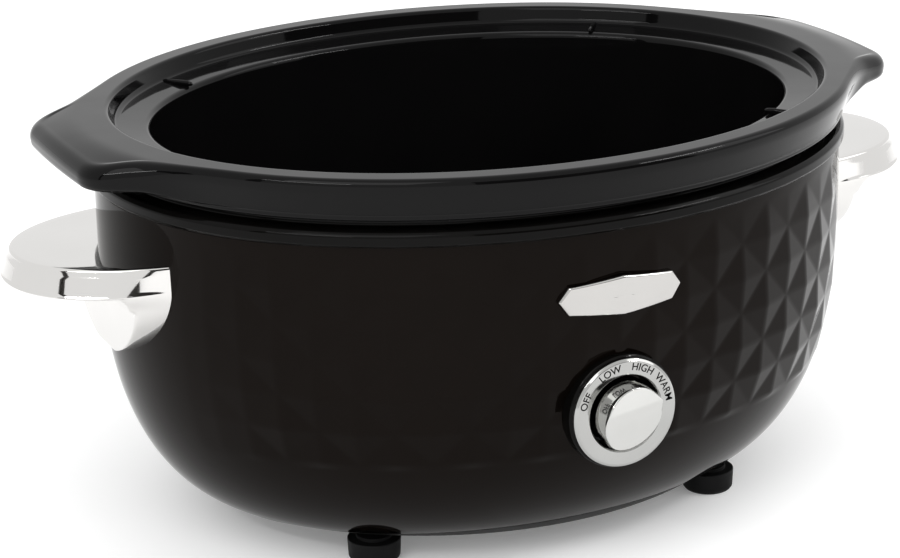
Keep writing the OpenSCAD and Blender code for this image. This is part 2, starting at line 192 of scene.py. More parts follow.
def make_piece(name: str, points: np.ndarray, faces: list, finishes: list, body: str,
               picks: np.ndarray | None = None) -> bpy.types.Object:
    """Puts points and faces into a smooth-shaded mesh that faces outwards, and rides it on a body.

    Args:
        name: the piece's name.
        points: vertices in millimetres.
        faces: arrays of vertex numbers, one for each number of corners.
        finishes: the materials, in slot order.
        body: CAD body that the piece rides on.
        picks: material number of each face, where there is more than one.

    Returns:
        The new object, which sits at the origin.
    """
    centred = points - points.mean(0)
    if signed_volume(centred, faces) < 0.0:
        faces = [group[:, ::-1] for group in faces]
    corners = np.concatenate([group.ravel() for group in faces]).astype(np.int32)
    sizes = np.concatenate([np.full(len(group), group.shape[1]) for group in faces])
    starts = (np.cumsum(sizes) - sizes).astype(np.int32)
    mesh = bpy.data.meshes.new(name)
    mesh.vertices.add(len(points))
    mesh.vertices.foreach_set("co", (points * MM).astype(np.float32).ravel())
    mesh.loops.add(len(corners))
    mesh.loops.foreach_set("vertex_index", corners)
    mesh.polygons.add(len(starts))
    mesh.polygons.foreach_set("loop_start", starts)
    mesh.polygons.foreach_set("use_smooth", np.ones(len(starts), bool))
    if picks is not None:
        mesh.polygons.foreach_set("material_index", picks.astype(np.int32))
    mesh.update(calc_edges=True)
    mesh.validate()
    for finish in finishes:
        mesh.materials.append(finish)
    piece = bpy.data.objects.new(name, mesh)
    bpy.context.scene.collection.objects.link(piece)
    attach(piece, body)
    return piece


def capped(rings: np.ndarray, first: bool = True, last: bool = True) -> tuple:
    """Rings as a point list and faces, with a pole in the middle of the end rings that are to be closed."""
    rows, columns = rings.shape[:2]
    points = rings.reshape(-1, 3)
    faces = ring_faces(rows, columns, False)
    turn = np.arange(columns)
    for wanted, row, flip in ((first, 0, True), (last, rows - 1, False)):
        if wanted:
            pole = np.full(columns, len(points))
            points = np.concatenate([points, rings[row].mean(0)[None]])
            edge = np.stack([row * columns + turn, row * columns + (turn + 1) % columns, pole], -1)
            faces.append(edge[:, ::-1] if flip else edge)
    return points, faces


def revolved(profile: np.ndarray, origin: np.ndarray, columns: int, upright: bool) -> np.ndarray:
    """Rings of a turned piece: each profile point (radius, height) goes round the axis.

    Args:
        profile: (radius, height) points; a closed piece starts and ends near the axis.
        origin: where the axis starts.
        columns: points in each ring.
        upright: the axis points up; otherwise it points to the front, -Y.

    Returns:
        Rings of points.
    """
    angle = turns(columns)[None, :]
    radius, height = profile[:, 0, None], profile[:, 1, None] + 0.0 * angle
    across, over = radius * np.cos(angle), radius * np.sin(angle)
    parts = (across, over, height) if upright else (across, -height, over)
    return np.stack(parts, -1) + origin


# ---------------------------------------------------------------- finishes


class Grain(Enum):
    """How a finish's surface is broken up."""

    RIPPLE = "soft ripple of a glaze or lacquer"
    PEBBLE = "fine moulded pebble"
    BRUSHED = "fine scratches in one direction"
    CLOTH = "fine fibre"


@dataclass(frozen=True)
class Finish:
    """One surface finish, made into a node material.

    Two colours drift into each other, the roughness drifts between two values, and a bump of the
    finish's grain lies over it. Scales are per metre and the bump's depth is in metres.
    """

    name: str
    light: tuple
    dark: tuple
    rough: tuple
    grain: Grain
    grain_scale: float
    depth: float
    metallic: float = 0.0
    specular: float = 0.5
    tint: tuple = (1.0, 1.0, 1.0)
    glow: float = 0.0
    drift_scale: float = 30.0
    stretch: tuple = (1.0, 1.0, 1.0)

    def _node(self, tree: bpy.types.NodeTree, kind: str, settings: dict, source: bpy.types.NodeSocket,
              socket: str = "Vector") -> bpy.types.Node:
        """A node with the given settings, whose named socket is fed from source."""
        node = tree.nodes.new(kind)
        for name, value in settings.items():
            node.inputs[name].default_value = value
        tree.links.new(source, node.inputs[socket])
        return node

    def _noise(self, tree: bpy.types.NodeTree, source: bpy.types.NodeSocket, scale: float,
               detail: float) -> bpy.types.Node:
        """A noise texture on the given coordinates."""
        return self._node(tree, "ShaderNodeTexNoise", {"Scale": scale, "Detail": detail}, source)

    def _height(self, tree: bpy.types.NodeTree, source: bpy.types.NodeSocket) -> bpy.types.NodeSocket:
        """The socket that carries the grain's height."""
        if self.grain is Grain.PEBBLE:
            cells = self._node(tree, "ShaderNodeTexVoronoi", {"Scale": self.grain_scale}, source)
            return cells.outputs["Distance"]
        detail = {Grain.RIPPLE: 1.0, Grain.BRUSHED: 4.0, Grain.CLOTH: 8.0}[self.grain]
        return self._noise(tree, source, self.grain_scale, detail).outputs["Fac"]

    def material(self) -> bpy.types.Material:
        """Builds the material, or returns it if it is there already."""
        title = f"{self.name}_finish"
        made = bpy.data.materials.get(title)
        if made is not None:
            return made
        made = bpy.data.materials.new(title)
        made.use_nodes = True
        tree = made.node_tree
        shader = tree.nodes["Principled BSDF"]
        shader.inputs["Metallic"].default_value = self.metallic
        shader.inputs["Specular IOR Level"].default_value = self.specular
        shader.inputs["Specular Tint"].default_value = (*self.tint, 1.0)
        shader.inputs["Emission Strength"].default_value = self.glow
        place = tree.nodes.new("ShaderNodeTexCoord")
        drift = self._noise(tree, place.outputs["Object"], self.drift_scale, 3.0)
        colours = tree.nodes.new("ShaderNodeMix")
        colours.data_type = "RGBA"
        colours.inputs["A"].default_value = (*self.dark, 1.0)
        colours.inputs["B"].default_value = (*self.light, 1.0)
        tree.links.new(drift.outputs["Fac"], colours.inputs["Factor"])
        tree.links.new(colours.outputs["Result"], shader.inputs["Base Color"])
        smears = self._noise(tree, place.outputs["Object"], self.drift_scale * 2.3, 5.0)
        limits = {"From Min": 0.3, "From Max": 0.7, "To Min": self.rough[0], "To Max": self.rough[1]}
        spread = self._node(tree, "ShaderNodeMapRange", limits, smears.outputs["Fac"], "Value")
        tree.links.new(spread.outputs["Result"], shader.inputs["Roughness"])
        layout = self._node(tree, "ShaderNodeMapping", {"Scale": self.stretch}, place.outputs["Object"])
        bump = self._node(tree, "ShaderNodeBump", {"Strength": 1.0, "Distance": self.depth},
                          self._height(tree, layout.outputs["Vector"]), "Height")
        tree.links.new(bump.outputs["Normal"], shader.inputs["Normal"])
        return made


BLACK_GLAZE = Finish("black_glaze", (0.0034, 0.0032, 0.0032), (0.0016, 0.0016, 0.0018), (0.03, 0.07),
                     Grain.RIPPLE, 38.0, 0.00010, specular=0.125, drift_scale=18.0)
BARE_CLAY = Finish("bare_clay", (0.36, 0.30, 0.24), (0.24, 0.20, 0.16), (0.75, 0.95),
                   Grain.PEBBLE, 900.0, 0.0001, specular=0.2, drift_scale=60.0)
BLACK_LACQUER = Finish("black_lacquer", (0.0030, 0.0020, 0.0015), (0.0016, 0.0011, 0.0008), (0.04, 0.09),
                       Grain.RIPPLE, 220.0, 0.000006, specular=0.07, tint=(1.0, 0.88, 0.82),
                       drift_scale=14.0)
COLLAR_BLACK = Finish("collar_black", (0.0030, 0.0027, 0.0025), (0.0016, 0.0015, 0.0014), (0.05, 0.10),
                      Grain.PEBBLE, 1500.0, 0.000002, specular=0.08, drift_scale=25.0)
CHROME = Finish("chrome", (0.70, 0.69, 0.675), (0.64, 0.63, 0.615), (0.03, 0.07),
                Grain.RIPPLE, 120.0, 0.000006, metallic=1.0, drift_scale=22.0)
KNOB_CHROME = Finish("knob_chrome", (0.60, 0.60, 0.585), (0.53, 0.53, 0.515), (0.04, 0.09),
                     Grain.RIPPLE, 220.0, 0.000004, metallic=1.0, drift_scale=60.0)
SCALE_CHROME = Finish("scale_chrome", (0.42, 0.42, 0.41), (0.36, 0.36, 0.352), (0.07, 0.13),
                      Grain.BRUSHED, 900.0, 0.000002, metallic=1.0, drift_scale=60.0)
PLATE_CHROME = Finish("plate_chrome", (0.50, 0.49, 0.475), (0.45, 0.44, 0.43), (0.08, 0.14),
                      Grain.BRUSHED, 700.0, 0.000002, metallic=1.0, drift_scale=45.0)
LABEL_INK = Finish("label_ink", (0.006, 0.0055, 0.005), (0.003, 0.003, 0.003), (0.5, 0.65),
                   Grain.PEBBLE, 2500.0, 0.000002, specular=0.05, drift_scale=300.0)
ALUMINISED = Finish("aluminised_steel", (0.62, 0.62, 0.60), (0.48, 0.48, 0.47), (0.28, 0.45),
                    Grain.BRUSHED, 350.0, 0.00002, metallic=1.0, stretch=(1.0, 1.0, 9.0))
ZINC = Finish("zinc_steel", (0.60, 0.60, 0.56), (0.46, 0.46, 0.42), (0.25, 0.42),
              Grain.BRUSHED, 500.0, 0.00001, metallic=1.0, drift_scale=90.0)
BASE_BLACK = Finish("base_black", (0.020, 0.020, 0.020), (0.012, 0.012, 0.012), (0.45, 0.6),
                    Grain.PEBBLE, 700.0, 0.00003, drift_scale=40.0)
RUBBER = Finish("foot_rubber", (0.0050, 0.0050, 0.0052), (0.0025, 0.0025, 0.0027), (0.45, 0.65),
                Grain.PEBBLE, 1400.0, 0.00003, specular=0.12, drift_scale=90.0)
MICA = Finish("mica_band", (0.46, 0.40, 0.30), (0.30, 0.26, 0.19), (0.35, 0.55),
              Grain.CLOTH, 400.0, 0.00003, drift_scale=70.0)
BRASS = Finish("brass", (0.72, 0.52, 0.24), (0.58, 0.40, 0.17), (0.22, 0.38),
               Grain.BRUSHED, 600.0, 0.00001, metallic=1.0, drift_scale=120.0)
SWITCH_PLASTIC = Finish("switch_moulding", (0.10, 0.10, 0.105), (0.07, 0.07, 0.075), (0.4, 0.55),
                        Grain.PEBBLE, 1500.0, 0.00002, drift_scale=120.0)
SWITCH_BOARD = Finish("switch_board", (0.34, 0.18, 0.08), (0.25, 0.13, 0.06), (0.45, 0.6),
                      Grain.CLOTH, 900.0, 0.00002, drift_scale=150.0)
CERAMIC = Finish("terminal_ceramic", (0.82, 0.80, 0.72), (0.72, 0.70, 0.62), (0.3, 0.45),
                 Grain.PEBBLE, 900.0, 0.00002, drift_scale=120.0)
SLEEVE = Finish("lead_sleeve", (0.74, 0.72, 0.66), (0.62, 0.60, 0.54), (0.55, 0.75),
                Grain.CLOTH, 2200.0, 0.00008, drift_scale=200.0)
GLAND_BLACK = Finish("gland_black", (0.020, 0.020, 0.021), (0.012, 0.012, 0.013), (0.35, 0.5),
                     Grain.PEBBLE, 1800.0, 0.00002, drift_scale=110.0)

FINISH_OF_SLOT = {
    "black_glaze": BLACK_GLAZE, "black_lacquer": BLACK_LACQUER, "collar_black": COLLAR_BLACK,
    "aluminised_steel": ALUMINISED, "mica_band": MICA, "zinc_steel": ZINC, "base_black": BASE_BLACK,
    "foot_rubber": RUBBER, "chrome": CHROME, "brass": BRASS, "switch_moulding": SWITCH_PLASTIC,
    "switch_board": SWITCH_BOARD, "terminal_ceramic": CERAMIC, "lead_sleeve": SLEEVE,
    "gland_black": GLAND_BLACK,
}


def add_piece(name: str, rings: np.ndarray, finish: Finish, body: str, node: str = "",
              joined: bool = False) -> None:
    """Makes a piece of one finish from rings, and has it stand for a CAD node if one is named.

    Args:
        name: the piece's name.
        rings: rows by columns of points.
        finish: its finish.
        body: CAD body that the piece rides on.
        node: the CAD node that it replaces.
        joined: joins the last ring to the first; otherwise both end rings are closed with a pole.
    """
    points, faces = rings.reshape(-1, 3), ring_faces(*rings.shape[:2], True)
    if not joined:
        points, faces = capped(rings)
    piece = make_piece(name, points, faces, [finish.material()], body)
    if node:
        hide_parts(node)


# ---------------------------------------------------------------- ovals


def oval_centre() -> float:
    """How far behind the frame's origin the oval's centre lies, from the crock's box."""
    low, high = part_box("crock")
    return (low.y + high.y) / 2.0 / MM


def rim_half_width() -> float:
    """Half of the crock's width from front to back, from its box."""
    low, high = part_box("crock")
    return (high.y - low.y) / 2.0 / MM


CENTRE_Y = oval_centre()
RIM_HALF_WIDTH = rim_half_width()


def placed(points: np.ndarray) -> np.ndarray:
    """Points about the oval's centre, moved to their place in the frame."""
    return points + np.array([0.0, CENTRE_Y, 0.0])


def ellipse_ring(t: np.ndarray, a: np.ndarray, b: np.ndarray, z: np.ndarray) -> np.ndarray:
    """Points at parameter t on ellipses with half axes a and b at height z, all broadcast together."""
    return np.stack(np.broadcast_arrays(a * np.cos(t), b * np.sin(t), z + 0.0 * t), -1)


def outward(ring: np.ndarray) -> np.ndarray:
    """Level unit vectors that point out of a closed anticlockwise ring, along its last row axis."""
    tangent = np.roll(ring, -1, -2) - np.roll(ring, 1, -2)
    normal = np.stack([tangent[..., 1], -tangent[..., 0], 0.0 * tangent[..., 2]], -1)
    return normal / np.linalg.norm(normal, axis=-1, keepdims=True)


# ---------------------------------------------------------------- the crock


@dataclass
class Crock:
    """The lift-out stoneware crock: a flat rim with a lug at each end, a lid ledge and a deep well."""

    rim_a: float = 180.0
    rim_b: float = RIM_HALF_WIDTH
    rim_top: float = 190.5
    drop: float = 30.0
    lug_reach: float = 199.6
    lug_bow: float = 1.4
    lug_corner_x: float = 186.0
    lug_corner_y: float = 50.0
    lug_flare: float = 0.58
    lug_corner_r: float = 9.0
    lug_root: float = 120.0
    lug_droop: float = 2.5
    bare_foot: float = 36.6
    columns: int = 540

    def angles(self) -> np.ndarray:
        """Ellipse parameters of the columns, which stand closer together at the lugs."""
        even = turns(self.columns)
        return even - 0.175 * np.sin(2.0 * even)

    def outline(self, t: np.ndarray) -> np.ndarray:
        """The rim's outer edge in plan, with the lugs.

        Along each direction, halving finds the distance at which the blend of two fields is zero: the
        ellipse's, and a lug's, which is the rounded meeting of its bowed end and its flared flanks.

        Args:
            t: ellipse parameters.

        Returns:
            Points at height 0.
        """
        base = ellipse_ring(t, self.rim_a, self.rim_b, 0.0)
        reach = np.linalg.norm(base, axis=-1)
        way = base / reach[:, None]
        low, high = reach - 1.0, reach + 60.0
        for _ in range(32):
            middle = (low + high) / 2.0
            x, y = np.abs(middle * way[:, 0]), np.abs(middle * way[:, 1])
            oval = (np.hypot(x / self.rim_a, y / self.rim_b) - 1.0) * self.rim_b
            end = x - self.lug_reach + self.lug_bow * (y / 40.0) ** 2
            flank = y - self.lug_corner_y - (self.lug_corner_x - x) * self.lug_flare
            lug = smooth_max(end, flank / math.hypot(1.0, self.lug_flare), self.lug_corner_r)
            lug = smooth_max(lug, self.lug_root - x, self.lug_corner_r)
            inside = smooth_min(oval, lug, 12.0) < 0.0
            low, high = np.where(inside, middle, low), np.where(inside, high, middle)
        return way * low[:, None]

    def rim_rings(self, t: np.ndarray) -> np.ndarray:
        """Rings from the rim's flat top, over its edge and under the lugs, to its lower edge."""
        edge = self.outline(t)
        out = outward(edge)
        base = ellipse_ring(t, self.rim_a, self.rim_b, 0.0)
        gap = np.linalg.norm(edge, axis=-1) - np.linalg.norm(base, axis=-1)
        lug = smoothstep(0.5, 11.0, gap)[None, :, None]
        base_out = outward(base)
        up = np.array([0.0, 0.0, 1.0])
        fall = 3.0 + 3.2 * lug
        top = self.rim_top - self.lug_droop * smoothstep(2.0, 21.0, gap[None, :, None] - fall)
        inner = ellipse_ring(t, 171.0, 171.0 - self.drop, self.rim_top)[None]
        shoulder = edge[None] - out * fall + up * top
        across = np.concatenate([[0.0, 0.03], np.linspace(0.1, 0.9, 9), [0.965]])[:, None, None]
        flat = lerp(inner, shoulder, across)
        sag = smoothstep(2.0, 21.0, np.linalg.norm(flat[..., :2], axis=-1)
                         - np.linalg.norm(base, axis=-1))[..., None]
        flat = flat * [1.0, 1.0, 0.0] + up * (self.rim_top - self.lug_droop * sag)
        turn = np.linspace(0.0, 0.5 * math.pi, 9)[:, None, None]
        bend = edge[None] - out * fall * (1.0 - np.sin(turn)) + up * (top - fall * (1.0 - np.cos(turn)))
        side_foot = 175.2 + 5.2 * lug
        side_z = lerp(top - fall, side_foot, np.linspace(0.0, 1.0, 8)[1:, None, None])
        taper = (0.292 * np.clip(185.5 - side_z, 0.0, None) * (1.0 - lug)
                 + 0.10 * lug * (top - fall - side_z))
        side = edge[None] - out * taper + up * side_z
        curl = 0.25 + 3.0 * lug
        roll = np.linspace(0.0, 0.5 * math.pi, 6)[1:, None, None]
        under = side[-1:] - out * curl * (1.0 - np.cos(roll)) - up * curl * np.sin(roll)
        start = under[-1:]
        finish = base[None] - base_out * 3.7 + up * 173.2
        fallen = start[..., 2:] - finish[..., 2:]
        first = start - lerp(up * 0.4 * fallen, out * 0.6 * gap[None, :, None], lug)
        second = finish + up * 0.75 * fallen
        s = np.linspace(0.0, 1.0, 14)[1:, None, None]
        web = ((1 - s) ** 3 * start + 3 * (1 - s) ** 2 * s * first
               + 3 * (1 - s) * s * s * second + s ** 3 * finish)
        tuck = np.linspace(0.0, 0.5 * math.pi, 6)[1:, None, None]
        lip = finish - base_out * 1.4 * (1.0 - np.cos(tuck)) - up * 1.4 * np.sin(tuck)
        return np.concatenate([flat, bend, side, under, web, lip])

    def body_rings(self, t: np.ndarray) -> np.ndarray:
        """Rings of the wall below the rim, down to the bare foot."""
        path = rounded_path([(172.0, 171.8), (158.6, 171.8), (156.4, 166.0), (137.0, 44.0),
                             (132.5, 37.0), (127.5, 36.0), (120.0, 36.0), (117.5, 38.0), (112.0, 38.0)],
                            [0, 1.5, 4, 6, 3, 1.5, 1.5, 1.5, 0], step=9.0)
        a, z = path[:, 0, None], path[:, 1, None]
        return ellipse_ring(t[None, :], a, a - self.drop - 0.6 * smoothstep(150.0, 172.0, a), z)

    def well_rings(self, t: np.ndarray) -> np.ndarray:
        """Rings from the rim's inner edge, over the lid ledge and down the well to its floor."""
        path = rounded_path([(171.0, 190.5), (167.6, 190.5), (165.4, 183.0), (149.4, 181.4),
                             (131.5, 52.0), (124.0, 43.2), (60.0, 42.8)],
                            [0, 3.0, 2.6, 2.6, 16, 12, 0], step=7.0)
        a, z = path[1:, 0, None], path[1:, 1, None]
        return ellipse_ring(t[None, :], a, a - self.drop, z)

    def build(self) -> None:
        """Makes the crock and the four stops that centre a lid on its ledge."""
        t = self.angles()
        outer = np.concatenate([self.rim_rings(t), self.body_rings(t)])
        rings = placed(np.concatenate([self.well_rings(t)[::-1], outer]))
        points, faces = capped(rings)
        bare = rings[:-1, 0, 2] < self.bare_foot
        picks = np.concatenate([np.repeat(bare, self.columns), np.zeros(self.columns),
                                np.ones(self.columns)])
        crock = make_piece("crock_glazed", points, faces, [BLACK_GLAZE.material(), BARE_CLAY.material()],
                           "crock", picks)
        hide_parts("crock")
        for index, angle in enumerate((46.0, 134.0, 226.0, 314.0)):
            self.stop(f"lid_stop_{index + 1}", math.radians(angle))

    def stop(self, name: str, angle: float) -> None:
        """A small ridge that crosses the lid ledge and ends in a beak over the well.

        Its ridge line runs level along the way to the centre, its width is a rounded hump, and both
        dwindle to the ends.

        Args:
            name: the piece's name.
            angle: ellipse parameter of the place on the ledge.
        """
        start = np.array([166.0 * math.cos(angle), 136.0 * math.sin(angle)])
        inwards = -np.array([math.cos(angle) / 166.0, math.sin(angle) / 136.0])
        inwards /= np.linalg.norm(inwards)
        sideways = np.array([-inwards[1], inwards[0]])
        along = np.linspace(0.0, 1.0, 25)[:, None]
        round_way = turns(20)[None, :]
        fade = np.sqrt(np.clip(1.0 - (2.0 * along - 1.0) ** 4, 0.0, None)) * 0.98 + 0.02
        reach = 17.4 * along + 0.0 * round_way
        width = 1.15 * fade * np.cos(round_way)
        height = 182.5 + 0.3 * along + fade * (1.5 * np.sin(round_way) + 0.1)
        plan = start + reach[..., None] * inwards + width[..., None] * sideways
        rings = placed(np.concatenate([plan, height[..., None]], -1))
        add_piece(name, rings, BLACK_GLAZE, "crock")


# ---------------------------------------------------------------- the base's shell


@dataclass
class Shell:
    """The lacquered outer shell, pressed with a lattice of shallow diamonds on its front and back."""

    a: float = 176.0
    b: float = 143.4
    top: float = 160.2
    foot: float = 14.0
    sheet: float = 1.2
    curve_top: float = 125.0
    curve_foot: float = 10.0
    curve_depth: float = 58.0
    curve_power: float = 2.45
    pitch: float = 16.6
    first_row: float = 156.3
    row_step: float = 16.0
    row_cells: int = 6
    column_cells: int = 60
    cuts: int = 10
    relief: float = 1.35

    def inset(self, z: np.ndarray) -> np.ndarray:
        """How far the side has curved in at height z, as a superellipse."""
        share = np.clip((self.curve_top - z) / (self.curve_top - self.curve_foot), 0.0, 0.999)
        return self.curve_depth * (1.0 - np.sqrt(1.0 - share ** self.curve_power))

    def lattice_angle(self, cell: np.ndarray) -> np.ndarray:
        """Ellipse parameter of lattice column cell, counted from the middle of the front.

        Columns stand one pitch apart along the side, and take up what is left over near the ends.
        """
        fine = np.linspace(-0.5 * math.pi, 0.0, 4001)
        step = np.hypot(self.a * np.sin(fine), self.b * np.cos(fine))
        length = np.concatenate([[0.0], np.cumsum((step[1:] + step[:-1]) / 2.0)]) * (fine[1] - fine[0])
        quarter = self.column_cells / 4.0
        folded = np.abs((cell + 2.0 * quarter) % (4.0 * quarter) - 2.0 * quarter)
        front = np.minimum(folded, 2.0 * quarter - folded)
        slack = length[-1] - self.pitch * quarter
        reach = self.pitch * front + slack * (front / quarter) ** 5
        angle = np.interp(reach, length, fine)
        angle = np.where(folded > quarter, -angle, angle)
        return np.where((cell % (4.0 * quarter)) > 2.0 * quarter, -math.pi - angle, angle)

    def smooth(self, t: np.ndarray, z: np.ndarray, lift: np.ndarray) -> np.ndarray:
        """Points of the plain side at parameter t and height z, moved outwards by lift."""
        inset = self.inset(z)
        ring = ellipse_ring(t, self.a - inset, self.b - inset, z)
        out = np.stack([np.cos(t) / self.a, np.sin(t) / self.b, 0.0 * t], -1)
        return ring + out / np.linalg.norm(out, axis=-1, keepdims=True) * np.asarray(lift)[..., None]

    def strength(self, t: np.ndarray, z: np.ndarray) -> np.ndarray:
        """How strongly the diamonds are pressed: full on the front and back, none at the ends and foot."""
        x = np.abs(self.a * np.cos(t))
        ends = 1.0 - smoothstep(128.0, 163.0, x)
        return ends * smoothstep(38.0, 70.0, z) * (1.0 - smoothstep(145.0, 156.0, z))

    def faceted(self) -> tuple:
        """The pressed band: flat facets between a lattice's corners and its raised crowns.

        A cell's four corners are two crowns and two hollows in turn. Its diagonal between the hollows
        is a valley, and a point on either side of it is the weighted mean of that side's three corners.

        Returns:
            The rings of points, and how each face between them is split.
        """
        n = self.cuts
        columns = np.arange(self.column_cells * n)
        rows = np.arange(self.row_cells * n + 1)
        cell_x, p = (columns // n)[None, :], (columns % n)[None, :] / n
        cell_z = np.minimum(rows // n, self.row_cells - 1)[:, None]
        q = rows[:, None] / n - cell_z

        def corner(dx: int, dz: int) -> np.ndarray:
            """Lattice points at one corner of every vertex's cell."""
            t = self.lattice_angle(cell_x + dx + 0.0 * cell_z)
            z = self.first_row - self.row_step * (cell_z + dz) + 0.0 * t
            crown = (cell_x + dx + cell_z + dz + 1) % 2
            return self.smooth(t, z, crown * self.relief * self.strength(t, z))

        c00, c10, c01, c11 = corner(0, 0), corner(1, 0), corner(0, 1), corner(1, 1)
        p, q = (x[..., None] for x in np.broadcast_arrays(p, q))
        hollow_first = ((cell_x + cell_z) % 2 == 1)[..., None]
        falling = np.where(p >= q, c00 + (p - q) * (c10 - c00) + q * (c11 - c00),
                           c00 + (q - p) * (c01 - c00) + p * (c11 - c00))
        rising = np.where(p + q <= 1.0, c00 + p * (c10 - c00) + q * (c01 - c00),
                          c11 + (1.0 - p) * (c01 - c11) + (1.0 - q) * (c10 - c11))
        pressed = np.where(hollow_first, falling, rising)
        t = self.lattice_angle((columns / n)[None, :] + 0.0 * rows[:, None])
        z = self.first_row - self.row_step * rows[:, None] / n + 0.0 * t
        plain = self.smooth(t, z, np.zeros_like(t))
        rings = lerp(plain, pressed, self.strength(t, z)[..., None] ** 0.3)
        face_cell_z = (np.arange(self.row_cells * n) // n)[:, None]
        split = np.where((cell_x + face_cell_z) % 2 == 1, Split.RISING.value, Split.FALLING.value)
        return rings, split

    def build(self) -> None:
        """Makes the shell: the pressed band, plain rows above and below it, and the sheet's inside."""
        band, band_split = self.faceted()
        columns = band.shape[1]
        t = self.lattice_angle(np.arange(columns) / self.cuts)[None, :]
        above = np.array([self.top, self.top - 0.4, 159.0, 158.0, 157.2])[:, None]
        band_foot = self.first_row - self.row_step * self.row_cells
        down = np.linspace(0.0, 1.0, 40)[1:, None]
        below = self.foot + (band_foot - self.foot) * (1.0 - down) ** 1.6
        inside = np.concatenate([self.foot + (100.0 - self.foot) * np.linspace(0.0, 1.0, 14) ** 1.5,
                                 [120.0, 140.0, self.top]])[:, None]
        rings = np.concatenate([
            self.smooth(t + 0 * above, above + 0 * t, 0 * above + 0 * t), band,
            self.smooth(t + 0 * below, below + 0 * t, 0 * below + 0 * t),
            self.smooth(t + 0 * inside, inside + 0 * t, 0 * inside + 0 * t - self.sheet)])
        split = np.zeros((len(rings), columns), int)
        split[len(above):len(above) + len(band_split)] = band_split
        faces = ring_faces(len(rings), columns, True, split)
        shell = make_piece("outer_shell_pressed", placed(rings).reshape(-1, 3), faces,
                           [BLACK_LACQUER.material()], "base")
        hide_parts("outer_shell")


@dataclass
class Collar:
    """The glossy collar that the crock's rim rests on, a rounded band with a raised seat inside."""

    drop: float = 177.6 - 147.0
    columns: int = 480

    def build(self) -> None:
        """Makes the collar as one closed section carried round the oval."""
        corners = [(163.0, 160.4), (176.4, 160.4), (177.6, 161.8), (177.6, 165.6), (175.8, 167.4),
                   (168.7, 167.5), (168.5, 171.4), (163.0, 171.4)]
        path = rounded_path(corners, [0.4, 0.9, 0.9, 1.8, 1.8, 0.8, 0.6, 0.6], step=4.0, closed=True)
        a, z = path[:, 0, None], path[:, 1, None]
        rings = ellipse_ring(turns(self.columns)[None, :], a, a - self.drop, z)
        add_piece("collar_ring", placed(rings), COLLAR_BLACK, "base", "top_collar", True)


# ---------------------------------------------------------------- the handles


